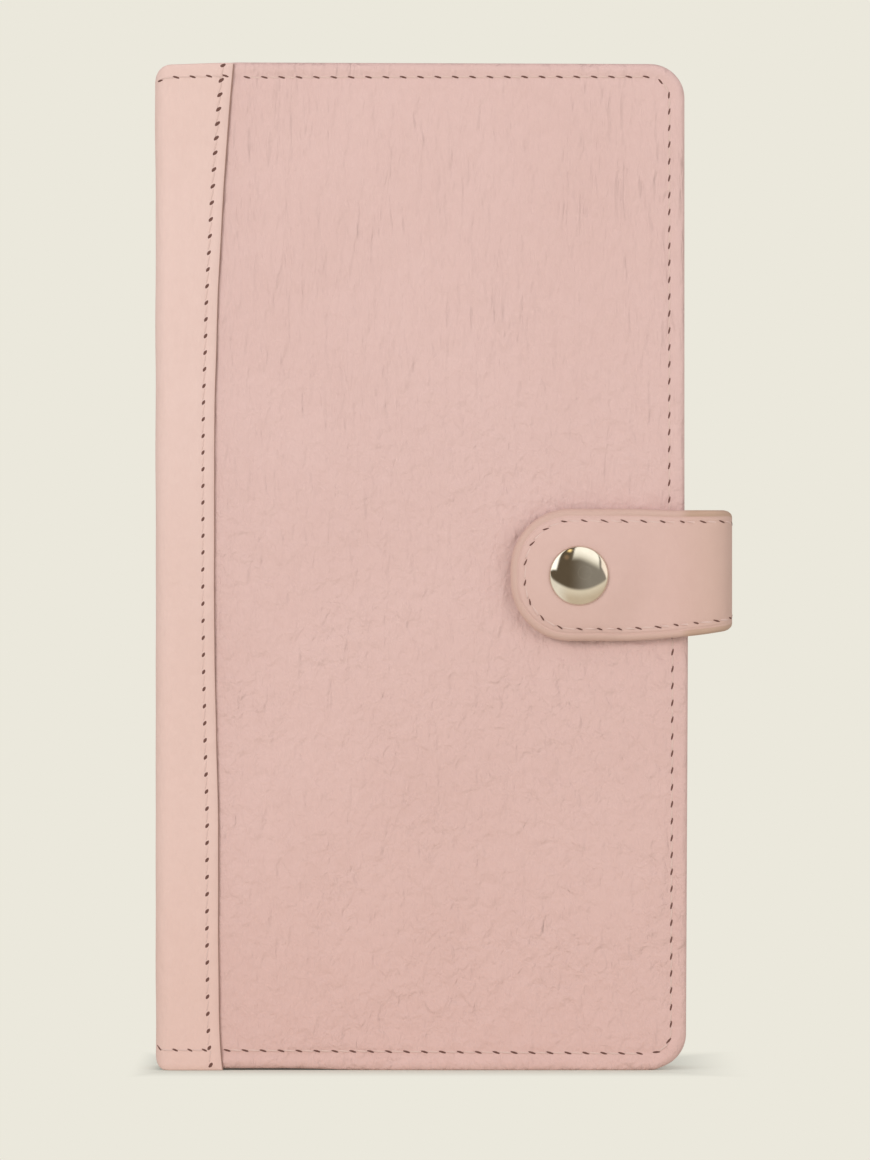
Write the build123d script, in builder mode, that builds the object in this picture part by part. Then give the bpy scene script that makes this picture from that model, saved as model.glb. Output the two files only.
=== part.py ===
"""Passport holder: a book-like leather travel wallet, shut by a strap with a snap.

The holder stands on its lower edge. +Z is up, -Y is the front cover's outer side, the spine is at -X and
the covers' free edges are at +X. The origin is at the middle of the footprint. Millimetres.

Bodies, from the back: back cover -> spine -> front cover, and back cover -> strap side -> strap tongue.
"""

import math
import os

from build123d import *

os.makedirs("parts", exist_ok=True)

# ------------------------------------------------------------------ driving dimensions
cover_width = 110.0  # spine's outer face to the covers' free edge
cover_height = 210.0
corner_radius = 7.2  # free corners of the covers

leather = 1.2  # cover leather
board = 1.2  # stiffener in each cover
lining = 0.8
rim = 2.2  # turned leather edge around the board
outer_round = 1.1  # rounding of a turned edge, outer side
inner_round = 0.5  # rounding of a turned edge, inner side
fit_gap = 0.15  # between a turned edge and what lies inside it

strip = 1.1  # spine strip leather
lap_width = 13.6  # spine's outer face to the lap's raw edge
strip_drop = 0.8  # the strip ends this much below the covers' top
strip_corner = 2.6  # rounding of the strip at the top of the spine
fold_radius = 4.0  # outer radius where the strip turns round the spine
spine_board = 0.8
lining_fold = 1.5  # inner radius of the lining in the gutters

leaf = 0.6  # pocket leaf leather
hem = 1.0  # a leaf's turned upper edge
hem_height = 7.0
leaf_gap = 0.2  # between stacked leaves
card_slots = 4
card_height = 54.0  # a standard card, lying on its long side
card_bottom = 8.0  # lower seam of the card slots
slot_step = 12.5  # each slot's mouth above the one in front of it
slip_top = 158.0  # mouth of the slip pocket behind the cards
gutter = 9.0  # spine's outer face to the pockets

ticket_leaf = 0.7
ticket_top = 186.0  # mouth of the ticket pocket at the spine side
ticket_dip = 14.0  # how far the mouth falls towards the free edge

passport_width = 88.0
passport_height = 125.0
passport_thick = 4.0
passport_room = 1.5  # play on each side of the passport
passport_proud = 15.0  # how far the passport stands out of its pocket
passport_depth_room = 0.8  # play in the thickness
pocket_wall = 0.9
pocket_slope = 14.0  # degrees by which the raised sides lean in
pocket_round = 1.6  # shoulder of the raised pocket
pocket_bottom = 6.0  # underside of the raised part above the base

free_gap = 2.8  # between what fills the two covers, when shut

strap = 2.4  # strap, leather and lining together
strap_leather = 1.2
strap_rim = 1.7
strap_round = 0.8
strap_z = 103.0  # height of the snap
strap_tip_width = 27.2
strap_narrowing = 2.2  # the strap is this much narrower at its bends
strap_tip_flat = 2.4  # straight stretch in the middle of the rounded tip
strap_reach = 36.0  # tip of the strap, inside the free edge
strap_taper = 14.0  # length over which the strap narrows towards its bend
strap_standoff = 9.8  # outside of the strap beyond the free edge
strap_bend = 5.0  # outer radius of its two bends
anchor_length = 44.0  # sewn end on the back cover, inside the free edge
anchor_corner = 3.0

snap_inset = 14.2  # snap centre to the strap's tip
cap_radius = 6.25
cap_height = 2.4
cap_roll = 0.6  # radius of the cap's rolled edge
cap_wall = 0.45
barrel_radius = 1.8
barrel_wall = 0.4
hole_play = 0.1  # radial, round a barrel
socket_radius = 5.3
socket_height = 2.8
socket_wall = 0.4
socket_mouth = 3.15
ball_radius = 2.95
neck_radius = 2.5
stud_radius = 5.2
stud_flange = 0.5
snap_play = 0.1  # between the socket's mouth and the stud's flange
spring_wire = 0.3  # radius
spring_play = 0.05
post_radius = 4.6
post_flange = 0.5

# ------------------------------------------------------------------ places that follow from them
cover_thick = leather + board + lining
front_stack = (card_slots + 1) * (leaf + leaf_gap) + hem - leaf
pocket_depth = passport_thick + passport_depth_room
ticket_start = cover_thick + leaf_gap
pocket_start = ticket_start + ticket_leaf
back_stack = pocket_start - cover_thick + pocket_depth + pocket_wall
body_depth = 2 * cover_thick + front_stack + free_gap + back_stack

strap_gap = stud_flange + snap_play + socket_height
front_reach = strap_gap + strap + cap_height
total_depth = front_reach + body_depth + strap

x_spine = -(cover_width + strap_standoff) / 2
x_free = x_spine + cover_width
x_strap = x_free + strap_standoff
x_panel = x_spine + fold_radius  # where a cover starts, beside the fold
x_pockets = x_spine + gutter
x_seam = x_free - rim - fit_gap  # inner side of the turned free edge

y_front = -total_depth / 2 + front_reach  # outer face of the front cover
y_back = y_front + body_depth  # outer face of the back cover
y_tongue = y_front - strap_gap - strap  # outer face of the tongue
y_tongue_in = y_tongue + strap
y_anchor = y_back + strap  # outer face of the sewn end

strip_height = cover_height - strip_drop
strap_neck_width = strap_tip_width - strap_narrowing
strap_tip_radius = (strap_tip_width - strap_tip_flat) / 2
strap_top = strap_z + strap_tip_width / 2
strap_low = strap_z - strap_tip_width / 2
neck_low = strap_top - strap_neck_width
x_tip = x_free - strap_reach
x_bend = x_strap - strap_bend  # where the straight tongue ends
snap_x = x_tip + snap_inset

fold_y = {1: y_front - strip + fold_radius, -1: y_back + strip - fold_radius}
bend_y = {1: y_tongue + strap_bend, -1: y_anchor - strap_bend}
lining_x = x_spine + strip + spine_board  # outer side of the spine lining
gutter_x = lining_x + lining + lining_fold  # centre of the lining's folds
gutter_y = {
    1: y_front + cover_thick + lining_fold,
    -1: y_back - cover_thick - lining_fold,
}

FRONT, BACK = 1, -1  # the way in from a cover's outer face, along Y
OUTER = {FRONT: y_front, BACK: y_back}
SPINE_SIDE = {FRONT: 180, BACK: 90}  # start of a fold's quarter turn, in degrees
STRAP_SIDE = {FRONT: -90, BACK: 0}


def at_y(y):
    """Sketch plane at depth y, whose own x and y run along X and Z."""
    return Plane.XZ.offset(-y)


def fold_axis(radius, thickness):
    """Distance of a fold's hinge axis from both outer faces, so that the sheet keeps its length."""
    return radius - math.pi / 4 * (radius - thickness / 2)


# ------------------------------------------------------------------ covers
def panel_outline(left, inset=0.0):
    """Face of a cover from x = left to the free edge, with its two rounded corners."""
    with Locations(((left + x_free - inset) / 2, cover_height / 2)):
        Rectangle(x_free - inset - left, cover_height - 2 * inset)
    fillet(vertices().group_by(Axis.X)[-1], corner_radius - inset)


def cover_leather(way):
    """Outer leather of one cover, its edges turned in over the board on three sides."""
    outer = OUTER[way]
    with BuildPart() as shell:
        with BuildSketch(at_y(outer)):
            panel_outline(x_panel)
        extrude(amount=-way * cover_thick)
        by_depth = shell.faces().filter_by(Axis.Y).sort_by(Axis.Y)[::way]
        fillet(by_depth[0].edges().sort_by(Axis.X)[1:], outer_round)
        by_depth = shell.faces().filter_by(Axis.Y).sort_by(Axis.Y)[::way]
        fillet(by_depth[-1].edges().sort_by(Axis.X)[1:], inner_round)
        with BuildSketch(at_y(outer + way * leather)):
            panel_outline(x_panel - rim, rim)
        extrude(amount=-way * (board + lining), mode=Mode.SUBTRACT)
        if way == FRONT:
            with Locations(Plane((snap_x, outer, strap_z), z_dir=(0, -1, 0))):
                Hole(barrel_radius + hole_play)
    return shell


def cover_board(way):
    """Stiffener inside the turned edge; the front one is counterbored for the stud's post."""
    inner = OUTER[way] + way * (leather + board)
    with BuildPart() as stiffener:
        with BuildSketch(at_y(OUTER[way] + way * leather)):
            panel_outline(x_panel + lining_fold, rim + fit_gap)
        extrude(amount=-way * board)
        if way == FRONT:
            with Locations(Plane((snap_x, inner, strap_z), z_dir=(0, 1, 0))):
                CounterBoreHole(barrel_radius + hole_play, post_radius + hole_play, post_flange)
    return stiffener


def cover_lining(way):
    """Lining of one cover, from the gutter to the turned edge."""
    with BuildPart() as sheet:
        with BuildSketch(at_y(OUTER[way] + way * (leather + board))):
            panel_outline(gutter_x, rim + fit_gap)
        extrude(amount=-way * lining)
    return sheet


front_cover_leather = cover_leather(FRONT)
back_cover_leather = cover_leather(BACK)
front_board = cover_board(FRONT)
back_board = cover_board(BACK)
front_lining = cover_lining(FRONT)
back_lining = cover_lining(BACK)


# ------------------------------------------------------------------ spine strip and spine lining
def quarter_ring(centre, start, outer_radius, thickness, z=0.0):
    """Section of a sheet that turns a quarter round a centre, from the angle start."""
    with BuildSketch(Plane.XY.offset(z)) as ring:
        with BuildLine():
            outside = CenterArc(centre, outer_radius, start, 90)
            inside = CenterArc(centre, outer_radius - thickness, start, 90)
            Line(outside @ 0, inside @ 0)
            Line(outside @ 1, inside @ 1)
        make_face()
    return ring.sketch


def round_spine_top():
    """Trim the part to the strip's side view, rounded at the top of the spine."""
    with BuildSketch(at_y(y_anchor)) as side_view:
        with Locations((x_spine, 0)):
            Rectangle(lap_width, strip_height, align=(Align.MIN, Align.MIN))
        fillet(vertices().group_by(Axis.Y)[-1].sort_by(Axis.X)[0], strip_corner)
    extrude(side_view.sketch, amount=total_depth, mode=Mode.INTERSECT)


def strip_fold(way):
    """Quarter turn of the spine strip between the spine and one lap."""
    ring = quarter_ring((x_panel, fold_y[way]), SPINE_SIDE[way], fold_radius, strip)
    with BuildPart() as fold:
        extrude(ring, amount=strip_height)
        round_spine_top()
    return fold


def strip_lap(way):
    """Flat lap of the spine strip, sewn on a cover beside its raw edge."""
    with BuildPart() as lap:
        with BuildSketch(at_y(OUTER[way])):
            with Locations((x_panel, 0)):
                Rectangle(lap_width - fold_radius, strip_height, align=(Align.MIN, Align.MIN))
        extrude(amount=way * strip)
        outer_face = lap.faces().filter_by(Axis.Y).sort_by(Axis.Y)[::way][0]
        fillet(outer_face.edges().sort_by(Axis.X)[-1], inner_round)
    return lap


def lining_turn(way):
    """Quarter turn of the lining in one gutter."""
    outer_radius = lining_fold + lining
    ring = quarter_ring((gutter_x, gutter_y[way]), SPINE_SIDE[way], outer_radius, lining, rim)
    with BuildPart() as turn:
        extrude(ring, amount=strip_height - 2 * rim)
    return turn


def spine_sheet(left, thickness, ends, margin=0.0):
    """Flat sheet along the spine between two heights of y."""
    with BuildPart() as sheet:
        with BuildSketch(Plane.XY.offset(margin)):
            with Locations((left + thickness / 2, (ends[FRONT] + ends[BACK]) / 2)):
                Rectangle(thickness, ends[BACK] - ends[FRONT])
        extrude(amount=strip_height - 2 * margin)
        if margin == 0.0:
            round_spine_top()
    return sheet


spine_front_lap = strip_lap(FRONT)
spine_back_lap = strip_lap(BACK)
spine_front_fold = strip_fold(FRONT)
spine_back_fold = strip_fold(BACK)
spine_strip = spine_sheet(x_spine, strip, fold_y)
spine_stiffener = spine_sheet(x_spine + strip, spine_board, gutter_y, rim)
spine_lining = spine_sheet(lining_x, lining, gutter_y, rim)
lining_front_turn = lining_turn(FRONT)
lining_back_turn = lining_turn(BACK)


# ------------------------------------------------------------------ pockets inside the front cover
def pocket_leaf(start, mouth):
    """One leaf of the front pockets: a thin sheet with a thicker turned hem along its mouth."""
    low = rim + fit_gap
    with BuildPart() as sheet:
        with BuildSketch(at_y(y_front + start)):
            with Locations((x_pockets, low)):
                Rectangle(x_seam - x_pockets, mouth - low, align=(Align.MIN, Align.MIN))
            fillet(vertices().group_by(Axis.Y)[0].sort_by(Axis.X)[-1], corner_radius - low)
        extrude(amount=-leaf)
        with BuildSketch(at_y(y_front + start)):
            with Locations((x_pockets, mouth)):
                Rectangle(x_seam - x_pockets, hem_height, align=(Align.MIN, Align.MAX))
        extrude(amount=-hem)
        top_edges = sheet.faces().sort_by(Axis.Z)[-1].edges().filter_by(Axis.X)
        fillet(top_edges, hem * 0.3)
    return sheet


leaf_pitch = leaf + leaf_gap
slip_pocket = pocket_leaf(cover_thick + leaf_gap, slip_top)
card_leaves = []
for slot in range(card_slots):
    mouth_height = card_bottom + card_height + (card_slots - 1 - slot) * slot_step
    card_leaves.append(pocket_leaf(cover_thick + leaf_gap + (slot + 1) * leaf_pitch, mouth_height))


# ------------------------------------------------------------------ pockets inside the back cover
with BuildPart() as ticket_pocket:
    low = rim + fit_gap
    free_top = ticket_top - ticket_dip
    with BuildSketch(at_y(y_back - ticket_start)):
        with BuildLine():
            Line((x_pockets, ticket_top), (x_pockets, low))
            Line((x_pockets, low), (x_seam, low))
            Line((x_seam, low), (x_seam, free_top))
            TangentArc((x_seam, free_top), (x_pockets, ticket_top), tangent=(-1, 0))
        make_face()
        fillet(vertices().group_by(Axis.Y)[0].sort_by(Axis.X)[-1], corner_radius - low)
    extrude(amount=ticket_leaf)

slope_run = pocket_depth * math.tan(math.radians(pocket_slope))
room_width = passport_width + 2 * passport_room + 2 * slope_run  # inside, at the flange
pocket_mouth = pocket_bottom + passport_height - passport_proud
x_pocket = (x_pockets + x_seam) / 2


with BuildPart() as passport_pocket:
    low = rim + fit_gap
    over = pocket_depth  # the raised form runs past the mouth before it is cut off there
    outer_width = room_width + 2 * pocket_wall
    raised = pocket_mouth + over - pocket_bottom
    with BuildSketch(at_y(y_back - pocket_start)):
        with Locations((x_pockets, low)):
            Rectangle(x_seam - x_pockets, pocket_mouth - low, align=(Align.MIN, Align.MIN))
        fillet(vertices().group_by(Axis.Y)[0].sort_by(Axis.X)[-1], corner_radius - low)
    extrude(amount=pocket_wall)
    with BuildSketch(at_y(y_back - pocket_start)):
        with Locations((x_pocket, pocket_bottom - pocket_wall)):
            Rectangle(outer_width, raised, align=(Align.CENTER, Align.MIN))
        fillet(vertices().group_by(Axis.Y)[0], corner_radius)
    extrude(amount=pocket_depth + pocket_wall, taper=pocket_slope)
    top_face = passport_pocket.faces().sort_by(Axis.Y)[0]
    fillet(top_face.edges(), pocket_round)
    with BuildSketch(at_y(y_back - pocket_start)):
        with Locations((x_pocket, pocket_bottom)):
            Rectangle(room_width, raised + over, align=(Align.CENTER, Align.MIN))
        fillet(vertices().group_by(Axis.Y)[0], corner_radius - pocket_wall)
    extrude(amount=pocket_depth, taper=pocket_slope, mode=Mode.SUBTRACT)
    split(bisect_by=Plane.XY.offset(pocket_mouth), keep=Keep.BOTTOM)


# ------------------------------------------------------------------ strap
def tongue_outline(y, inset=0.0):
    """Tongue seen from the front: a D-shaped tip, and a lower edge that rises to the neck."""
    left, top, low = x_tip + inset, strap_top - inset, strap_low + inset
    radius = strap_tip_radius - inset
    taper_start = (x_bend - strap_taper, low)
    with BuildSketch(at_y(y)) as outline:
        with BuildLine():
            Line((x_bend, top), (left + radius, top))
            CenterArc((left + radius, top - radius), radius, 90, 90)
            Line((left, top - radius), (left, low + radius))
            CenterArc((left + radius, low + radius), radius, 180, 90)
            Line((left + radius, low), taper_start)
            rise = TangentArc(taper_start, (x_bend, neck_low + inset), tangent=(1, 0))
            Line(rise @ 1, (x_bend, top))
        make_face()
    return outline.sketch


def outer_edges(part, axis, way, open_side):
    """Edges of the face furthest out along axis, without the one at the open side."""
    face = part.faces().filter_by(axis).sort_by(axis)[::way][0]
    return face.edges().sort_by(open_side)[:-1]


with BuildPart() as strap_tongue:
    extrude(tongue_outline(y_tongue), amount=-strap)
    fillet(outer_edges(strap_tongue, Axis.Y, 1, Axis.X), strap_round)
    recess = tongue_outline(y_tongue + strap_leather, strap_rim)
    extrude(recess, amount=strap_leather - strap, mode=Mode.SUBTRACT)
    with Locations(Plane((snap_x, y_tongue, strap_z), z_dir=(0, -1, 0))):
        Hole(barrel_radius + hole_play)

with BuildPart() as strap_tongue_lining:
    filling = tongue_outline(y_tongue + strap_leather, strap_rim + fit_gap)
    extrude(filling, amount=strap_leather - strap)
    with Locations(Plane((snap_x, y_tongue_in, strap_z), z_dir=(0, 1, 0))):
        Hole(barrel_radius + hole_play)


def strap_bend_piece(way):
    """Quarter turn of the strap, past the covers' free edge."""
    ring = quarter_ring((x_bend, bend_y[way]), STRAP_SIDE[way], strap_bend, strap, neck_low)
    with BuildPart() as bend:
        extrude(ring, amount=strap_neck_width)
        arcs = bend.edges().filter_by(GeomType.CIRCLE)
        fillet(arcs.filter_by(lambda arc: arc.radius > strap_bend - strap / 2), strap_round)
    return bend


strap_front_bend = strap_bend_piece(FRONT)
strap_back_bend = strap_bend_piece(BACK)

x_side = Plane.YZ.offset(x_strap)  # its own x and y run along Y and Z
side_middle = ((bend_y[FRONT] + bend_y[BACK]) / 2, neck_low + strap_neck_width / 2)
side_length = bend_y[BACK] - bend_y[FRONT]

with BuildPart() as strap_side:
    with BuildSketch(x_side):
        with Locations(side_middle):
            Rectangle(side_length, strap_neck_width)
    extrude(amount=-strap)
    side_face = strap_side.faces().sort_by(Axis.X)[-1]
    fillet(side_face.edges().filter_by(Axis.Y), strap_round)
    with BuildSketch(x_side.offset(-strap_leather)):
        with Locations(side_middle):
            Rectangle(side_length, strap_neck_width - 2 * strap_rim)
    extrude(amount=strap_leather - strap, mode=Mode.SUBTRACT)

with BuildPart() as strap_side_lining:
    with BuildSketch(x_side.offset(-strap_leather)):
        with Locations(side_middle):
            Rectangle(side_length, strap_neck_width - 2 * (strap_rim + fit_gap))
    extrude(amount=strap_leather - strap)


def anchor_outline(inset=0.0):
    """Sewn end on the back cover: a straight band with rounded inner corners."""
    left = x_free - anchor_length + inset
    with Locations((left, neck_low + inset)):
        Rectangle(x_bend - left, strap_neck_width - 2 * inset, align=(Align.MIN, Align.MIN))
    fillet(vertices().group_by(Axis.X)[0], anchor_corner - inset)


with BuildPart() as strap_anchor:
    with BuildSketch(at_y(y_anchor)):
        anchor_outline()
    extrude(amount=strap)
    fillet(outer_edges(strap_anchor, Axis.Y, -1, Axis.X), strap_round)
    with BuildSketch(at_y(y_back)):
        anchor_outline(strap_rim)
    extrude(amount=-(strap - strap_leather), mode=Mode.SUBTRACT)

with BuildPart() as strap_anchor_lining:
    with BuildSketch(at_y(y_back)):
        anchor_outline(strap_rim + fit_gap)
    extrude(amount=-(strap - strap_leather))


# ------------------------------------------------------------------ snap fastener
def snap_plane(y):
    """Section plane through the snap: own x is the radius, own y the way in."""
    return Plane((snap_x, y, strap_z), x_dir=(1, 0, 0), z_dir=(0, 0, 1))


snap_axis = Axis((snap_x, 0, strap_z), (0, 1, 0))

with BuildPart() as snap_cap:
    roll_x = cap_radius - cap_roll
    crown_rise = cap_height - 2 * cap_roll
    crown_radius = (roll_x**2 + crown_rise**2) / (2 * crown_rise)
    crown_y = crown_radius - cap_height  # centre of the crown's arc
    set_y = strap + socket_wall  # where the barrel is set against the socket's floor
    under_x = roll_x - cap_wall
    under_radius = crown_radius - cap_wall
    inner = barrel_radius - barrel_wall
    with BuildSketch(snap_plane(y_tongue)):
        with BuildLine():
            crown = RadiusArc((0, -cap_height), (roll_x, -2 * cap_roll), -crown_radius)
            RadiusArc(crown @ 1, (roll_x, 0), -cap_roll)
            under_end = (under_x, crown_y - math.sqrt(under_radius**2 - under_x**2))
            Polyline((roll_x, 0), (under_x, 0), under_end)
            under = RadiusArc(under_end, (0, cap_wall - cap_height), under_radius)
            Line(under @ 1, crown @ 0)
        make_face()
        with BuildLine():
            Polyline(
                (0, (cap_wall - cap_height) * 1.02),
                (barrel_radius, (cap_wall - cap_height) * 1.02),
                (barrel_radius, set_y),
                (barrel_radius + hole_play + barrel_wall, set_y),
                (barrel_radius + hole_play, set_y + barrel_wall * 0.8),
                (inner, set_y),
                (inner, 0),
                (0, 0),
                close=True,
            )
        make_face()
    revolve(axis=snap_axis)

with BuildPart() as snap_socket:
    h_lip = socket_height - socket_wall
    with BuildSketch(snap_plane(y_tongue_in)) as section:
        with BuildLine():
            Polyline(
                (barrel_radius + hole_play, 0),
                (socket_radius, 0),
                (socket_radius, socket_height),
                (socket_mouth, socket_height),
                (socket_mouth, h_lip),
                (socket_radius - socket_wall, h_lip),
                (socket_radius - socket_wall, socket_wall),
                (barrel_radius + hole_play, socket_wall),
                close=True,
            )
        make_face()
        outer_corners = vertices().group_by(Axis.X)[-1]
        fillet(outer_corners, socket_wall * 0.8)
    revolve(axis=snap_axis)

with BuildPart() as socket_spring:
    leg = neck_radius + spring_wire + spring_play
    bend_x = -leg / 2  # centre of the hairpin's bend
    leg_end = leg
    spring_y = y_tongue_in + socket_height - socket_wall - spring_wire
    with BuildLine(at_y(spring_y).shift_origin((snap_x, spring_y, strap_z))) as wire_path:
        upper = Line((leg_end, leg), (bend_x, leg))
        turn = CenterArc((bend_x, 0), leg, 90, 180)
        Line(turn @ 1, (leg_end, -leg))
    with BuildSketch(Plane(wire_path.wire() @ 0, z_dir=wire_path.wire() % 0)):
        Circle(spring_wire)
    sweep()

with BuildPart() as snap_stud:
    with BuildSketch(snap_plane(y_front)):
        with BuildLine():
            hollow = neck_radius - socket_wall
            Polyline(
                (barrel_radius + hole_play, 0),
                (stud_radius, 0),
                (stud_radius, -stud_flange * 0.6),
                (stud_radius - stud_flange * 0.5, -stud_flange),
                (neck_radius + 0.3, -stud_flange),
                (neck_radius, -stud_flange - 0.25),
                (neck_radius, -stud_flange - 0.95),
                (ball_radius, -stud_flange - 1.4),
            )
            ThreePointArc(
                (ball_radius, -stud_flange - 1.4),
                (ball_radius - 0.15, -stud_flange - 1.75),
                (hollow + 0.15, -stud_flange - 1.9),
            )
            Polyline(
                (hollow + 0.15, -stud_flange - 1.9),
                (hollow, -stud_flange - 1.75),
                (hollow, -stud_flange),
                (barrel_radius + hole_play, -stud_flange),
                (barrel_radius + hole_play, 0),
            )
        make_face()
    revolve(axis=snap_axis)

with BuildPart() as snap_post:
    seat = leather + board - post_flange  # the flange lies in the board's counterbore
    barrel = barrel_radius - 0.1
    inner = barrel - barrel_wall
    with BuildSketch(snap_plane(y_front)):
        with BuildLine():
            Polyline(
                (inner, seat + post_flange),
                (post_radius, seat + post_flange),
                (post_radius, seat + post_flange * 0.4),
                (post_radius - post_flange * 0.6, seat),
                (barrel, seat),
                (barrel, -stud_flange - 0.05),
                (hollow - 0.06, -stud_flange - 0.05),
                (barrel, -stud_flange - 0.45),
                (inner, -stud_flange - 0.1),
                close=True,
            )
        make_face()
    revolve(axis=snap_axis)


# ------------------------------------------------------------------ write every node
nodes = {
    "front_cover_leather": front_cover_leather,
    "front_board": front_board,
    "front_lining": front_lining,
    "spine_front_lap": spine_front_lap,
    "slip_pocket": slip_pocket,
    "spine_strip": spine_strip,
    "spine_front_fold": spine_front_fold,
    "spine_back_fold": spine_back_fold,
    "spine_board": spine_stiffener,
    "spine_lining": spine_lining,
    "lining_front_turn": lining_front_turn,
    "lining_back_turn": lining_back_turn,
    "back_cover_leather": back_cover_leather,
    "back_board": back_board,
    "back_lining": back_lining,
    "spine_back_lap": spine_back_lap,
    "ticket_pocket": ticket_pocket,
    "passport_pocket": passport_pocket,
    "strap_anchor": strap_anchor,
    "strap_anchor_lining": strap_anchor_lining,
    "strap_back_bend": strap_back_bend,
    "strap_side": strap_side,
    "strap_side_lining": strap_side_lining,
    "strap_front_bend": strap_front_bend,
    "strap_tongue": strap_tongue,
    "strap_tongue_lining": strap_tongue_lining,
    "snap_cap": snap_cap,
    "snap_socket": snap_socket,
    "socket_spring": socket_spring,
    "snap_stud": snap_stud,
    "snap_post": snap_post,
}
nodes |= {f"card_slot_{slot + 1}": sheet for slot, sheet in enumerate(card_leaves)}

for name, made in nodes.items():
    made.part.label = name
    export_step(made.part, f"parts/{name}.step")

strip_axis = fold_axis(fold_radius, strip)
strap_axis = fold_axis(strap_bend, strap)
print(f"body depth {body_depth:.2f}, total depth {total_depth:.2f}, strap gap {strap_gap:.2f}")
print(f"front face y {y_front:.3f}, back face y {y_back:.3f}, free edge x {x_free:.3f}")
print(f"spine hinge x {x_spine + strip_axis:.3f}, y {y_back + strip - strip_axis:.3f}")
print(f"cover hinge x {x_spine + strip_axis:.3f}, y {y_front - strip + strip_axis:.3f}")
print(f"strap hinge x {x_strap - strap_axis:.3f}, y {y_anchor - strap_axis:.3f}")
print(f"tongue hinge x {x_strap - strap_axis:.3f}, y {y_tongue + strap_axis:.3f}")
print(f"passport room x {x_pocket - room_width / 2:.2f} to {x_pocket + room_width / 2:.2f},")
print(f"  y {y_back - pocket_start - pocket_depth:.3f} to {y_back - pocket_start:.3f}, mouth z {pocket_mouth:.1f}")
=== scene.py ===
# %% [markdown]
# # A leather passport holder
#
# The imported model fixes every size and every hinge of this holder. This file gives it its looks: leather
# that is cut flat, turned at its edges and bent round the spine, its needle holes and thread, the pockets
# inside and the press stud on the strap. Each step says what the piece is on the real object and why it is
# made this way.

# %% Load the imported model
import math

import bmesh
import bpy
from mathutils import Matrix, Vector, noise
from mathutils.bvhtree import BVHTree


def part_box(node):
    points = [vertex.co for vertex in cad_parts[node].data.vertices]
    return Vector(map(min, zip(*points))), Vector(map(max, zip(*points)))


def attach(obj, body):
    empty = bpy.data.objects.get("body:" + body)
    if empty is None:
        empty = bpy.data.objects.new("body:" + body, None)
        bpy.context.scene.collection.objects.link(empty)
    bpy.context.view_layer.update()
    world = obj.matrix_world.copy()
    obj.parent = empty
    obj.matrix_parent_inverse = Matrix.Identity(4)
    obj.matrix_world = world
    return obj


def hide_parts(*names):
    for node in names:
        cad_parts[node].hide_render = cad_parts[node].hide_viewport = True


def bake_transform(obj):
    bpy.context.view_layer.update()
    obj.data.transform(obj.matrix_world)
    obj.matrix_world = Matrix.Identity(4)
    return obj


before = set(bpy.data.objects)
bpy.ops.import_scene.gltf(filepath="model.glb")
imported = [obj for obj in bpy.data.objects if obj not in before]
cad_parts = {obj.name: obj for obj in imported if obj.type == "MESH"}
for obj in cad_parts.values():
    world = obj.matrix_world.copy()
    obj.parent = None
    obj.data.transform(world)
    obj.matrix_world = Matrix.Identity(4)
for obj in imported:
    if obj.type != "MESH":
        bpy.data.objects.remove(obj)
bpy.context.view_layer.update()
MM = 0.001

# %% [markdown]
# The places that everything else hangs on are the boxes of a few nodes. Reading them here means that the
# looks follow the model when a size changes.

# %% Key places, in metres
front_low, front_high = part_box("front_cover_leather")
back_low, back_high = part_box("back_cover_leather")
lap_low, lap_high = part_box("spine_front_lap")
side_low, side_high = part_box("strap_side")
tongue_low, tongue_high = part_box("strap_tongue")
anchor_low, anchor_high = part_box("strap_anchor")
cap_low, cap_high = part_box("snap_cap")
fold_low, fold_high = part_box("spine_front_fold")
bend_low, bend_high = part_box("strap_front_bend")
lining_low, lining_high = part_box("front_lining")
strip_low, slip_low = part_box("spine_strip")[0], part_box("slip_pocket")[0]
gutter_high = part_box("spine_lining")[1]

HEIGHT = front_high.z
X_SPINE, X_FREE = strip_low.x, front_high.x
Y_FRONT, Y_BACK = front_low.y, back_high.y
COVER = front_high.y - front_low.y  # thickness of one cover
STRIP = lap_high.y - lap_low.y
FOLD = fold_high.x - fold_low.x  # outer radius of the spine's folds
BEND = bend_high.x - bend_low.x  # outer radius of the strap's bends
STRAP = tongue_high.y - tongue_low.y
SNAP = Vector(((cap_low.x + cap_high.x) / 2, 0, (cap_low.z + cap_high.z) / 2))
Y_MIDDLE = (Y_FRONT + Y_BACK) / 2
print(f"cover {(X_FREE - X_SPINE) / MM:.1f} x {HEIGHT / MM:.1f} mm, {(Y_BACK - Y_FRONT) / MM:.1f} mm deep")

# %% [markdown]
# ## Leather, cut flat and bent
#
# A leather worker cuts a flat piece, turns its edge, then bends it to shape. The code does the same. A grid
# is trimmed to an outline with rounded corners, its rim is extruded along the section of a turned edge, a
# copy of the grid closes the flesh side, and only then is the sheet laid along a path. Cutting first keeps
# every stitch and crease in simple flat coordinates: u along the path, v up the holder, h out of the
# surface.


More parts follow.
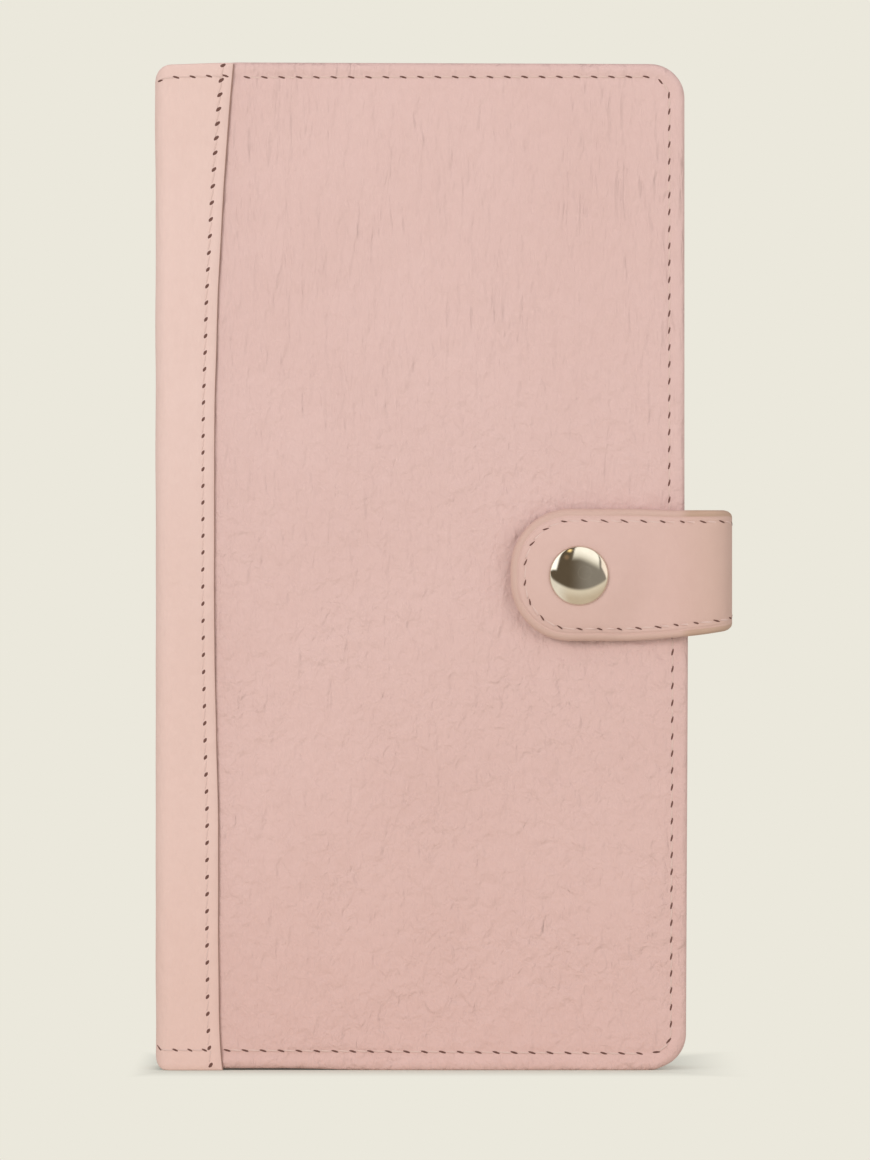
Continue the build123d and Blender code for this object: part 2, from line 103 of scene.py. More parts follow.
# %% Path of straight runs and round turns
def lay_path(start, heading, runs):
    """runs are straight lengths, or (radius, degrees), clockwise if positive. Returns place(u) and the
    length. place gives the point and the direction that h grows in, which is to the left of the path."""
    spans, point, angle, travelled = [], Vector(start).to_2d(), math.radians(heading), 0.0
    for run in runs:
        radius, turn = run if isinstance(run, tuple) else (0.0, 0.0)
        side, turn = math.copysign(radius, turn), math.radians(turn)
        spans.append((travelled, point.copy(), angle, side))
        if turn:
            centre = point + side * Vector((math.sin(angle), -math.cos(angle)))
            angle -= turn
            point = centre - side * Vector((math.sin(angle), -math.cos(angle)))
            travelled += radius * abs(turn)
        else:
            point = point + run * Vector((math.cos(angle), math.sin(angle)))
            travelled += run

    def place(u):
        begin, origin, heading_here, side = next((s for s in reversed(spans) if u >= s[0]), spans[0])
        if side:
            turned = heading_here - (u - begin) / side
            centre = origin + side * Vector((math.sin(heading_here), -math.cos(heading_here)))
            left = Vector((-math.sin(turned), math.cos(turned)))
            return centre + side * left, left
        along = Vector((math.cos(heading_here), math.sin(heading_here)))
        return origin + (u - begin) * along, Vector((-along.y, along.x))

    return place, travelled


# %% Outline with four corner radii
def corner_of(u, v, size, radii):
    """The corner zone that a point is in, as (centre, signs, radius), or None on the straight sides."""
    for (su, sv), radius in radii.items():
        centre = (size[0] / 2 * (1 + su) - su * radius, size[1] / 2 * (1 + sv) - sv * radius)
        if su * (u - centre[0]) > 0 and sv * (v - centre[1]) > 0:
            return centre, (su, sv), radius
    return None


def round_corner(u, v, size, radii):
    """Moves a point of the square grid so that the grid's corners become quarter circles."""
    zone = corner_of(u, v, size, radii)
    if not zone:
        return u, v
    centre, sign, _ = zone
    a, b = sign[0] * (u - centre[0]), sign[1] * (v - centre[1])
    far, near = max(a, b), min(a, b)
    turn = near / far * math.pi / 4
    a, b = (math.cos(turn), math.sin(turn)) if a >= b else (math.sin(turn), math.cos(turn))
    return centre[0] + sign[0] * a * far, centre[1] + sign[1] * b * far


def edge_distance(u, v, size, radii):
    """Distance to the outline, and the direction straight out to it."""
    zone = corner_of(u, v, size, radii)
    if zone and zone[2] > 0:
        out = Vector((u - zone[0][0], v - zone[0][1]))
        return zone[2] - out.length, out.normalized()
    sides = [(u, (-1, 0)), (size[0] - u, (1, 0)), (v, (0, -1)), (size[1] - v, (0, 1))]
    gap, out = min(sides, key=lambda side: side[0])
    return gap, Vector(out)


def all_corners(radii, least):
    """A radius for each of the four corners, none under the least."""
    return {(su, sv): max((radii or {}).get((su, sv), 0.0), least) for su in (-1, 1) for sv in (-1, 1)}


# %% [markdown]
# `cut_sheet` makes every leather piece. `shape` lifts the grain side, `under` does the same for the flesh
# side, and the third function marks where handling has rubbed the finish and where a painted shade darkens
# the strap's bends, which the leather material mixes in as a tan. `gap` is the distance to the outline.


# %% Sheet with a turned edge
def even(t):
    return t


def cut_sheet(size, thickness, rounding, cell, radii=None, shape=None, under=None, rub_and_shade=None, spread=even):
    """Closed leather sheet in flat coordinates, with its grain side at h = 0."""
    radii = all_corners(radii, rounding * 1.05)
    inner = (size[0] - 2 * rounding, size[1] - 2 * rounding)
    inner_radii = {key: radius - rounding for key, radius in radii.items()}
    steps = [max(2, round(side / cell)) for side in inner]
    bm = bmesh.new()
    bmesh.ops.create_grid(bm, x_segments=steps[0], y_segments=steps[1], size=0.5)
    for vert in bm.verts:
        u, v = (spread(min(1.0, max(0.0, t + 0.5))) * side for t, side in zip(vert.co, inner))
        u, v = round_corner(u, v, inner, inner_radii)
        vert.co = (u + rounding, v + rounding, 0)
    flesh = bmesh.ops.duplicate(bm, geom=bm.verts[:] + bm.edges[:] + bm.faces[:])["geom"]
    flesh_verts = {v for v in flesh if isinstance(v, bmesh.types.BMVert)}
    for vert in flesh_verts:
        vert.co.z = -thickness
    rim = [e for e in bm.edges if e.is_boundary and e.verts[0] not in flesh_verts]
    ring = {v: (v.co.to_2d(), edge_distance(v.co.x, v.co.y, size, radii)[1]) for e in rim for v in e.verts}
    angles = [math.radians(a) for a in ((30, 60, 90) if rounding > 0.25 * MM else (90,))]
    section = [(rounding * math.sin(a), -rounding * (1 - math.cos(a))) for a in angles]
    section += [(out, -thickness - down) for out, down in reversed(section)] + [(0.0, -thickness)]
    for out, height in section:
        grown = bmesh.ops.extrude_edge_only(bm, edges=rim)["geom"]
        rim = [g for g in grown if isinstance(g, bmesh.types.BMEdge)]
        fresh = [g for g in grown if isinstance(g, bmesh.types.BMVert)]
        ring = {v: next(ring[o] for o in (e.other_vert(v) for e in v.link_edges) if o in ring) for v in fresh}
        for vert, (base, outward) in ring.items():
            vert.co = (*(base + outward * out), height)
    bmesh.ops.remove_doubles(bm, verts=bm.verts, dist=0.002 * MM)
    bmesh.ops.recalc_face_normals(bm, faces=bm.faces)
    shade = bm.verts.layers.float.new("rub_and_shade")
    for vert in bm.verts:
        u, v = vert.co.x, vert.co.y
        gap = edge_distance(u, v, size, radii)[0]
        # stores the mark of rubbed wear on the rim and of the painted shade on the strap's bends
        if rub_and_shade:
            vert[shade] = rub_and_shade(u, gap)
        relief = shape if vert.co.z > -thickness / 2 else under
        if relief:
            vert.co.z += relief(u, v, gap)
    return bm


def bend_sheet(bm, place, v_low=0.0, warp=None):
    """Lays a flat sheet, or the stitches on it, along its path."""
    for vert in bm.verts:
        u, v = warp(vert.co.x, vert.co.y) if warp else (vert.co.x, vert.co.y)
        point, outside = place(u)
        vert.co = (*(point + outside * vert.co.z), v_low + v)
    bmesh.ops.recalc_face_normals(bm, faces=bm.faces)


def make_piece(name, bm, slot_name, *materials):
    """Turns a bmesh into a smooth-shaded object with its materials. slot_name is not used."""
    for face in bm.faces:
        face.smooth = True
    mesh = bpy.data.meshes.new(name)
    bm.to_mesh(mesh)
    bm.free()
    piece = bpy.data.objects.new(name, mesh)
    bpy.context.collection.objects.link(piece)
    for material in materials:
        mesh.materials.append(material)
    print(f"{name}: {len(mesh.polygons)} faces")
    return piece


def make_halves(name, bm, y, slot_name, *materials):
    """Cuts a closed mesh in two at a level y. Both cuts are capped with a sharp edge, so they meet unseen."""
    halves = []
    for side, end in (("clear_outer", "front"), ("clear_inner", "back")):
        half = bm.copy()
        geom = half.verts[:] + half.edges[:] + half.faces[:]
        bmesh.ops.bisect_plane(half, geom=geom, plane_co=(0, y, 0), plane_no=(0, 1, 0), **{side: True})
        cut = [e for e in half.edges if e.is_boundary]
        for edge in cut:
            edge.smooth = False
        bmesh.ops.holes_fill(half, edges=cut)
        halves.append(make_piece(f"{name}_{end}", half, slot_name, *materials))
    bm.free()
    return halves


# %% [markdown]
# ## Stitches
#
# Every row is sewn with a slanted needle. Each hole shows as a short dark dash, a matt bead painted dark as
# the shade down inside the hole. The thread between two holes is nearly the colour of the hide, so it shows
# only as a low ridge. Both are made in the flat, at even steps along the seam, and are bent together with
# their sheet.


# %% Stitch row
def height_on(bm):
    """Height of a flat sheet's grain side at (u, v), found by dropping a line onto it."""
    tree = BVHTree.FromBMesh(bm)

    def surface(u, v):
        hit = tree.ray_cast(Vector((u, v, 20 * MM)), Vector((0, 0, -1)))[0]
        return hit.z if hit else 0.0

    return surface


bead = bmesh.new()
bmesh.ops.create_uvsphere(bead, u_segments=8, v_segments=5, radius=1)
bead_points = [v.co.copy() for v in bead.verts]
bead_faces = [[v.index for v in f.verts] for f in bead.faces]
bead.free()


def stitch_row(bm, seam, start, end, pitch, slant, surface, hole=(0.86 * MM, 0.23 * MM), ridge=0.11):
    """Needle holes and thread along seam(s) from start to end. surface(u, v) is the height of the leather."""
    count = max(1, round((end - start) / pitch))
    step = (end - start) / count
    for index in range(2 * count + 1):
        at, out = seam(start + index * step / 2)
        along = Vector((out.y, -out.x))
        is_thread = index % 2
        turn = math.radians(slant * (0.25 if is_thread else 1.0))
        axis = math.cos(turn) * along + math.sin(turn) * out
        side = Vector((-axis.y, axis.x))
        length, width, rise = (step * 0.40, 0.22 * MM, ridge * MM) if is_thread else (*hole, 0.08 * MM)
        level = surface(*at)
        verts = []
        for point in bead_points:
            flat = at + axis * (point.x * length) + side * (point.y * width)
            verts.append(bm.verts.new((*flat, level + point.z * rise)))
        for corners in bead_faces:
            bm.faces.new([verts[i] for i in corners]).material_index = 0 if is_thread else 1


def stitch_piece(name, bm, slot_name, place, v_low=0.0, warp=None):
    """Bends finished rows with their sheet and turns them into one piece."""
    bend_sheet(bm, place, v_low, warp)
    return make_piece(name, bm, slot_name, pink_thread, needle_hole_shade)


# %% [markdown]
# ## Finishes
#
# The hide is a soft pink, drum-dyed leather. Its grain is a fine pebble. Over it lie soft pleats that run
# up the holder, mostly in its upper half, and short crinkles that run every way lower down. One function
# builds every leather, so that the strip, the strap and the pockets are recognisably the same hide in
# another shade.


# %% Node helpers
def feed(tree, node, values):
    """Gives each input its constant, or the output that it is linked to."""
    for key, value in values.items():
        if isinstance(value, bpy.types.NodeSocket):
            tree.links.new(value, node.inputs[key])
        else:
            node.inputs[key].default_value = value


def add_node(tree, kind, values=None, **settings):
    """Adds a shader node with its settings and its inputs."""
    made = tree.nodes.new(kind)
    for key, value in settings.items():
        setattr(made, key, value)
    feed(tree, made, values or {})
    return made


def calculate(tree, operation, *values):
    """One step of arithmetic on outputs and numbers."""
    return add_node(tree, "ShaderNodeMath", dict(enumerate(values)), operation=operation).outputs[0]


def new_material(name):
    material = bpy.data.materials.new(name)
    material.use_nodes = True
    return material, material.node_tree, material.node_tree.nodes["Principled BSDF"]


def bump_after(tree, normal, height, strength, distance):
    """Adds one more layer of relief to a normal."""
    values = {"Height": height, "Strength": strength, "Distance": distance}
    if normal:
        values["Normal"] = normal
    return add_node(tree, "ShaderNodeBump", values).outputs["Normal"]


def ramp(tree, value, low, high, out_low=0.0, out_high=1.0, kind="LINEAR"):
    """Maps a value to a new range and clamps it."""
    values = {"Value": value, "From Min": low, "From Max": high, "To Min": out_low, "To Max": out_high}
    return add_node(tree, "ShaderNodeMapRange", values, interpolation_type=kind).outputs["Result"]


def blend_colour(tree, factor, first, second, mode="MIX"):
    """Mixes two colours, each a colour or a socket."""
    mix = add_node(tree, "ShaderNodeMix", data_type="RGBA", blend_type=mode)
    ends = [(*colour, 1) if isinstance(colour, tuple) else colour for colour in (first, second)]
    feed(tree, mix, {"Factor": factor, "A": ends[0], "B": ends[1]})
    return mix.outputs["Result"]


# %% Leather material
def drawn_noise(tree, where, stretch, scale, detail, distortion):
    """Noise that is drawn out along an axis where stretch is small."""
    drawn = add_node(tree, "ShaderNodeMapping", {"Vector": where, "Scale": stretch}).outputs["Vector"]
    values = {"Vector": drawn, "Scale": scale, "Detail": detail, "Distortion": distortion}
    return add_node(tree, "ShaderNodeTexNoise", values).outputs["Fac"]


def creases(tree, swell, width):
    """Thin creases along the middle level of a noise."""
    away = calculate(tree, "ABSOLUTE", calculate(tree, "SUBTRACT", swell, 0.5))
    return ramp(tree, away, 0.0, width)


def leather_material(name, colour, deep, grain=1.0, wrinkle=1.0, roughness=0.5, rub_and_shade_tan=None):
    """Leather with a fine pebble, pleats and crinkles, a slow drift of tone, and a painted shade towards the
    bottom.
    """
    material, tree, shader = new_material(name)
    where = add_node(tree, "ShaderNodeTexCoord").outputs["Object"]
    drift = add_node(tree, "ShaderNodeTexNoise", {"Vector": where, "Scale": 24.0, "Detail": 3.0})
    patches = add_node(tree, "ShaderNodeTexNoise", {"Vector": where, "Scale": 55.0, "Detail": 2.0})
    soft_grain = {"Vector": where, "Scale": 380.0, "Detail": 5.0, "Roughness": 0.62}
    cloud = add_node(tree, "ShaderNodeTexNoise", soft_grain)
    pebble = add_node(tree, "ShaderNodeTexVoronoi", {"Vector": where, "Scale": 1350.0}, feature="SMOOTH_F1")
    level = add_node(tree, "ShaderNodeSeparateXYZ", {"Vector": where}).outputs["Z"]

    base = blend_colour(tree, ramp(tree, drift.outputs["Fac"], 0.30, 0.66), deep, colour)
    fine = ramp(tree, cloud.outputs["Fac"], 0.35, 0.65, 0.0, 0.25)
    base = blend_colour(tree, fine, base, (0.93, 0.90, 0.89), "MULTIPLY")
    # painted shade: every leather darkens a little from 13 cm down to 2 cm, as if less light reached its
    # bottom
    base = blend_colour(tree, ramp(tree, level, 0.13, 0.02), base, (1.0, 0.972, 0.950), "MULTIPLY")
    # the strap mixes in a tan where its rim is rubbed, and as a painted shade where its bends curve away from
    # the light
    if rub_and_shade_tan:
        rub_and_shade_part = add_node(tree, "ShaderNodeAttribute", attribute_name="rub_and_shade").outputs["Fac"]
        base = blend_colour(tree, rub_and_shade_part, base, rub_and_shade_tan)

    normal = bump_after(tree, None, cloud.outputs["Fac"], 0.45 * grain, 0.10 * MM)
    normal = bump_after(tree, normal, pebble.outputs["Distance"], 0.18 * grain, 0.10 * MM)
    if wrinkle:
        in_patch = ramp(tree, patches.outputs["Fac"], 0.36, 0.62, 0.4)
        pulled = calculate(tree, "MULTIPLY", in_patch, ramp(tree, level, 0.10, 0.17, 0.4))
        off_patch = ramp(tree, patches.outputs["Fac"], 0.36, 0.60, 1.0, 0.6)
        loose = calculate(tree, "MULTIPLY", off_patch, ramp(tree, level, 0.10, 0.17, 1.0, 0.3))
        pleats = drawn_noise(tree, where, (1.0, 1.0, 0.26), 430.0, 2.5, 0.3)
        dimples = drawn_noise(tree, where, (0.9, 0.9, 0.75), 400.0, 3.0, 0.4)
        lines = creases(tree, drawn_noise(tree, where, (0.9, 0.9, 0.6), 300.0, 3.0, 0.8), 0.12)
        for relief, mask, rest, depth in (
            (pleats, pulled, 0.5, 1.5), (dimples, loose, 0.5, 1.15), (lines, loose, 1.0, 0.07),
        ):
            masked = add_node(tree, "ShaderNodeMix", {"Factor": mask, "A": rest, "B": relief})
            normal = bump_after(tree, normal, masked.outputs["Result"], 1.0, depth * wrinkle * MM)
    looks = {"Base Color": base, "Normal": normal, "Roughness": roughness}
    feed(tree, shader, {**looks, "Specular IOR Level": 0.30, "Sheen Weight": 0.05})
    return material


# tan of the strap's rubbed rim, which also paints the shade on its bends
TAN = (0.535, 0.352, 0.262)
cover_leather = leather_material("cover_leather", (0.750, 0.512, 0.474), (0.723, 0.486, 0.446))
strip_leather = leather_material("strip_leather", (0.806, 0.579, 0.522), (0.780, 0.551, 0.492), 1.2, 0.25)
strap_leather = leather_material(
    "strap_leather", (0.714, 0.484, 0.430), (0.692, 0.464, 0.408), 0.8, 0.12, rub_and_shade_tan=TAN,
)
pocket_leather = leather_material("pocket_leather", (0.715, 0.480, 0.430), (0.680, 0.450, 0.400), 0.8, 0.4)
strap_lining = leather_material("strap_lining", (0.66, 0.44, 0.38), (0.63, 0.41, 0.35), 0.6, 0.15)
suede = leather_material("suede_lining", (0.62, 0.44, 0.385), (0.575, 0.40, 0.345), 1.5, 0.0, 0.85)
print("leathers:", len(bpy.data.materials))


# %% [markdown]
# Thread is waxed and nearly the colour of the hide. The raw cut edges are a darker, matt brown. The needle
# holes are a still darker matt brown, a painted shade for the shadow down inside them. The metal is nickel
# with a slight warmth, polished on the cap and left duller on the inner parts.


# %% Thread, needle holes, metal and board
def plain_material(name, colour, roughness, metallic=0.0, scale=900.0, relief=0.15):
    """Simple finish with a fine variation of its surface."""
    material, tree, shader = new_material(name)
    where = add_node(tree, "ShaderNodeTexCoord").outputs["Object"]
    speckle = add_node(tree, "ShaderNodeTexNoise", {"Vector": where, "Scale": scale}).outputs["Fac"]
    base = blend_colour(tree, speckle, tuple(0.9 * part for part in colour), colour)
    normal = bump_after(tree, None, speckle, relief, 0.05 * MM)
    feed(tree, shader, {"Base Color": base, "Normal": normal, "Roughness": roughness, "Metallic": metallic})
    return material


pink_thread = plain_material("pink_thread", (0.76, 0.54, 0.48), 0.6, scale=2500.0, relief=0.4)
# painted shade: the dark colour of the beads that stand for the shadow in each needle hole
needle_hole_shade = plain_material("needle_hole_shade", (0.17, 0.078, 0.062), 0.8)
cut_edge = plain_material("cut_edge", (0.42, 0.25, 0.205), 0.8, scale=1800.0, relief=0.4)
nickel = plain_material("polished_nickel", (0.80, 0.75, 0.66), 0.07, 1.0, 700.0, 0.04)
nickel_inner = plain_material("plated_nickel", (0.72, 0.70, 0.65), 0.22, 1.0, 400.0, 0.05)
steel = plain_material("spring_steel", (0.50, 0.49, 0.47), 0.3, 1.0, 3000.0)
board = plain_material("stiffener_board", (0.50, 0.42, 0.33), 0.9, 0.0, 1500.0, 0.5)

# %% [markdown]
# ## Covers
#
# Each cover is a board wrapped in leather. The hide is pulled over the board, so it swells a little between
# the stitch row and the rounded edge, dips where the thread pulls it in, and lies almost flat in the
# middle. Under the strap the free edges step out by less than a millimetre, where the strap holds the stack
# a little out of square. The spine strip carries the covers just clear of the table, and further out their
# lower edges settle on it.

# %% Relief and warp of the covers
SEAM = 3.2 * MM  # stitch row to the outline
PITCH = 3.65 * MM
SLANT = 17  # degrees between a needle hole and its seam
COVER_CORNER = 7.2 * MM
COVER_WIDTH = front_high.x - front_low.x
LIFT = 0.35 * MM  # from the table to the covers beside the spine
COVER_SIZE = (COVER_WIDTH, HEIGHT - LIFT)
LINING = 0.5 * MM  # what shows of the lining above the turned leather
PLATE = COVER - LINING + 0.1 * MM  # a cover without its lining, set into the lining by a tenth


def hill(x, middle, width):
    """Bell curve of height 1."""
    return math.exp(-(((x - middle) / width) ** 2))


def smooth(t):
    """Eases from 0 to 1 while t does."""
    t = min(1.0, max(0.0, t))
    return t * t * (3 - 2 * t)


def ease(x, start, end):
    """Goes smoothly from 0 to 1 while x goes from start to end, which are in millimetres."""
    return smooth((x / MM - start) / (end - start))


def near_top(height):
    """Goes from 0 to 1 over the top tenth of a height of 1."""
    return smooth((height - 0.9) / 0.1)


def slow_relief(u, v, seed, size, amount):
    """Gentle unevenness of a glued hide."""
    return amount * noise.noise(Vector((u / size, v / size, seed)))


def cover_relief(seed):
    """A swelling near the edge, the thread's groove beside it, and an uneven middle."""

    def shape(u, v, gap):
        rim = 0.16 * MM * hill(gap, 1.5 * MM, 0.8 * MM) - 0.20 * MM * hill(gap, SEAM, 0.8 * MM)
        return rim + ease(gap, 0, 6) * slow_relief(u, v, seed, 0.022, 0.18 * MM)

    return shape


def to_edges(t):
    """Draws the grid lines towards the edges, where the relief is finer."""
    return t - 0.10 * math.sin(2 * math.pi * t)


def out_of_square(v):
    """How far the free edge stands out. The strap pulls the upper part in. The lower part steps out under
    it and leans back towards the table."""
    below = (1 + math.tanh((SNAP.z - v) / (7 * MM))) / 2
    return 0.28 * MM + below * (0.80 - 0.50 * max(0.0, 1 - v / SNAP.z)) * MM


def tucked(from_spine, v):
    """The top edge dips under the strip and falls a little to the free corner. The lower edge settles on
    the table between the spine's side and the free corner."""
    dip = 1.2 * MM * ease(from_spine, 13, 4) + 0.4 * MM * from_spine / COVER_WIDTH
    settled = ease(from_spine, 22, 56) * ease(COVER_WIDTH - from_spine, 4, 10)
    sunk = 0.9 * MM * settled * max(0.0, 1 - v / (2.6 * MM))
    return max(v - sunk, -LIFT) - dip * near_top(v / HEIGHT)


def front_warp(u, v):
    """u runs from the free edge on the front cover, and from the spine on the back one."""
    return u - out_of_square(v) * (1 - u / COVER_WIDTH), tucked(COVER_WIDTH - u, v)


def back_warp(u, v):
    return u + out_of_square(v) * u / COVER_WIDTH, tucked(u, v)


# %% Cover skins
COVERS = (  # body, place along the outer side, warp, whether it is the front one
    ("front_cover", lay_path((X_FREE, Y_FRONT), 180, [COVER_WIDTH])[0], front_warp, True),
    ("back_cover", lay_path((back_low.x, Y_BACK), 0, [COVER_WIDTH])[0], back_warp, False),
)
cover_surface = {}
for name, place, warp, front in COVERS:
    free = -1 if front else 1
    corners = {(free, -1): COVER_CORNER, (free, 1): COVER_CORNER}
    relief = cover_relief(3.1 if front else 8.7)
    bm = cut_sheet(COVER_SIZE, PLATE, 1.1 * MM, 1.35 * MM, corners, relief, spread=to_edges)
    cover_surface[name] = height_on(bm)
    bend_sheet(bm, place, LIFT, warp)
    skin = make_piece(f"{name}_skin", bm, "cover_leather", cover_leather)
    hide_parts(f"{name}_leather")
    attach(skin, name)

# %% [markdown]
# The row round a cover starts under the strip, follows the rounded corners and comes back along the top. It
# was sewn by hand, so it isn't parallel to the edges: along the top and the bottom it drifts towards the
# outline.


# %% Stitches round the covers
def cover_seam(front):
    """The seam in the cover's flat coordinates, as its line and the lengths of its three stretches."""
    level = COVER_WIDTH - SEAM - TURN
    upright = COVER_SIZE[1] - BOTTOM_SEAM[1] - TOP_SEAM[1] - 2 * TURN
    drifts = [math.degrees((at_spine - at_free) / level) for at_spine, at_free in (BOTTOM_SEAM, TOP_SEAM)]
    if front:
        start, heading = (COVER_WIDTH, BOTTOM_SEAM[0]), 180 + drifts[0]
    else:
        start, heading = (0, COVER_SIZE[1] - TOP_SEAM[0]), drifts[1]
        drifts.reverse()
    turns = [(TURN, 90 + drift) for drift in drifts]
    seam, _ = lay_path(start, heading, [level, turns[0], upright, turns[1], level])
    return seam, level, upright + math.pi * TURN


def cover_row(bm, front, covered, surface, **look):
    """Stitches along the three stretches of a cover's seam, from and to a distance under the strip."""
    seam, level, middle = cover_seam(front)
    low = (3.73 * MM, 1.7 * MM, 1.8 * MM)  # pitch, and the last and first holes before and after the corner
    high = (3.65 * MM, 0.2 * MM, 3.0 * MM)
    first, last = (low, high) if front else (high, low)
    for start, end, pitch in (
        (covered[0], level - first[1], first[0]),
        (level + first[2], level + middle - last[2], 3.51 * MM),
        (level + middle + last[1], 2 * level + middle - covered[1], last[0]),
    ):
        stitch_row(bm, seam, start, end, pitch, SLANT, surface, **look)


BOTTOM_SEAM = (3.9 * MM, 3.1 * MM)  # the same distance along the bottom, at the spine and at the free corner
TOP_SEAM = (3.2 * MM, 2.7 * MM)
TURN = COVER_CORNER - SEAM + 0.7 * MM  # radius of the seam round a corner
LAP_SHARE = lap_high.x - front_low.x  # part of the cover under the strip
for name, place, warp, front in COVERS:
    bm = bmesh.new()
    cover_row(bm, front, (LAP_SHARE + 1.3 * MM, LAP_SHARE + 5.4 * MM), cover_surface[name])
    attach(stitch_piece(f"{name}_stitches", bm, "cover_leather", place, LIFT, warp), name)

# %% [markdown]
# ## Spine strip
#
# One strip of the same hide wraps the spine and laps over both covers. Its raw edge is skived thin and cut
# by hand, so it wanders a little, and it widens near the top of the front. The sheet is made whole, then
# parted in the middle of the spine.

# %% Flat shape of the strip
LAP = lap_high.x - X_SPINE - FOLD  # flat part of a lap
SPARE = 4.0 * MM  # how far the lap can widen past the model's
REACH = LAP + SPARE
STRIP_HEIGHT = HEIGHT - 0.2 * MM
spine_flat = (Y_BACK + STRIP) - (Y_FRONT - STRIP) - 2 * FOLD
strip_runs = [REACH, (FOLD, 90), spine_flat, (FOLD, 90), REACH]
strip_place, strip_length = lay_path((X_SPINE + FOLD + REACH, Y_FRONT - STRIP), 180, strip_runs)


def lap_width(v, front):
    """From the outside of the spine to the raw edge of the lap, at height v."""
    if not front:
        return 13.1 * MM + 0.4 * MM * noise.noise(Vector((v / 0.05, 6.0, 0)))
    upper = 4.05 * MM * max(0.0, (v - 0.125) / 0.085) ** 1.9
    lower = 0.85 * MM * ease(v, 95, 45) + 0.9 * MM * math.exp(-v / (7 * MM))
    return 12.5 * MM + upper + lower + 0.10 * MM * noise.noise(Vector((v / 0.012, 2.0, 0)))


def lap_row(v, front):
    """The row that holds the lap, 2.5 mm from the raw edge. This is its place before the lap is trimmed."""
    return 2.5 * MM * REACH / (lap_width(v, front) - FOLD)


def quarter(radius, inside):
    """Height that a rounded corner takes away, at a distance inside its edge."""
    return radius - math.sqrt(radius**2 - (radius - min(max(0.0, inside), radius)) ** 2)


def strip_warp(u, v):
    """Trims the laps to their raw edges and rounds the strip at the top and the bottom of the spine."""
    front = u < strip_length / 2
    from_edge = u if front else strip_length - u
    if from_edge < REACH:
        spare = REACH + FOLD - lap_width(v, front)
        moved = from_edge + spare * (1 - max(0.0, from_edge) / REACH)
        u = moved if front else strip_length - moved
    from_spine = strip_place(u)[0].x - X_SPINE
    drop = 0.8 * quarter(3.2 * MM, from_spine) + 0.35 * MM * ease(from_spine, 15, 2)
    rise = quarter(1.9 * MM, from_spine)
    height = v / STRIP_HEIGHT
    return u, v - drop * near_top(height) + rise * near_top(1 - height)


def strip_relief(u, v, gap):
    """Skived raw edges, the groove of the row beside them and worn ends. The middle stays plain where the
    halves meet."""
    from_edge = min(u, strip_length - u)
    skived = -0.25 * MM * ease(from_edge, 3.2, 0) - 0.24 * MM * ease(from_edge, 1.2, 0)
    groove = -0.16 * MM * hill(from_edge, lap_row(v, u < strip_length / 2), 0.9 * MM)
    ends = -0.20 * MM * ease(min(v, STRIP_HEIGHT - v), 1.1, 0) * smooth((u - STRIP) / STRIP)
    middle = ease(abs(u - strip_length / 2), 0, 4)
    return skived + groove + middle * (ends + slow_relief(u, v, 5.5, 0.018, 0.16 * MM))


# %% Strip halves
strip_size = (strip_length, STRIP_HEIGHT)
bm = cut_sheet(strip_size, STRIP - 0.05 * MM, 0.34 * MM, 0.8 * MM, None, strip_relief, spread=to_edges)
for face in bm.faces:
    middle = face.calc_center_median()
    if min(middle.x, strip_length - middle.x) < 0.30 * MM:
        face.material_index = 1
on_strip = height_on(bm)
bend_sheet(bm, strip_place, 0.0, strip_warp)
spine_front, spine_back = make_halves("spine_strip", bm, Y_MIDDLE, "spine_leather", strip_leather, cut_edge)
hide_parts("spine_front_lap", "spine_front_fold", "spine_strip")
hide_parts("spine_back_lap", "spine_back_fold")

# %% [markdown]
# Two rows cross the strip: the one that holds its lap, which follows the raw edge, and the end of the
# cover's own row, which runs on over the lap to the spine's fold.


# %% Strip stitches
def along_lap(front):
    """The first stitches at the top are short ones, and they grow a little longer towards the bottom."""

    def seam(s):
        v = s + 2.8 * MM * max(0.0, min(1.0, (STRIP_HEIGHT - s) / (21 * MM), s / (105 * MM)))
        u = lap_row(v, front)
        return Vector((u if front else strip_length - u, v)), Vector((-1 if front else 1, 0))

    return seam


def across_lap(front, v, outward):
    """A level row, from the raw edge towards the spine."""

    def seam(s):
        return Vector((s if front else strip_length - s, v)), Vector((0, outward))

    return seam


LAP_HOLE = {"hole": (0.88 * MM, 0.40 * MM), "ridge": 0.10}
CROSS_ROWS = (  # height, side of the thread, and the first and last holes from the raw edge
    (BOTTOM_SEAM[0] + LIFT, -1, 4.9 * MM, REACH + 3.8 * MM),
    (STRIP_HEIGHT - TOP_SEAM[0] + 0.45 * MM, 1, 1.8 * MM, REACH + 3.3 * MM),
)
strip_rows = {}
for front, end in ((True, "front"), (False, "back")):
    bm = bmesh.new()
    stitch_row(bm, along_lap(front), 1.1 * MM, STRIP_HEIGHT - 0.8 * MM, 3.46 * MM, 60, on_strip, **LAP_HOLE)
    for v, outward, first, last in CROSS_ROWS:
        stitch_row(bm, across_lap(front, v, outward), first, last, PITCH, SLANT, on_strip)
    name = f"spine_stitches_{end}"
    strip_rows[front] = stitch_piece(name, bm, "spine_leather", strip_place, 0.0, strip_warp)

# %% [markdown]
# Both halves of the strip and their rows have their placing baked into their meshes.

# %% Bake the strip's halves
for piece in (spine_front, strip_rows[True]):
    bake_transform(piece)
for piece in (spine_back, strip_rows[False]):
    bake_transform(piece)

# %% [markdown]
# ## Lining
#
# A thin split leather, suede side out, lines both covers and the spine. It is one sheet, glued over the raw
# edges of the turned leather, and it makes the two gutters that the holder opens at.

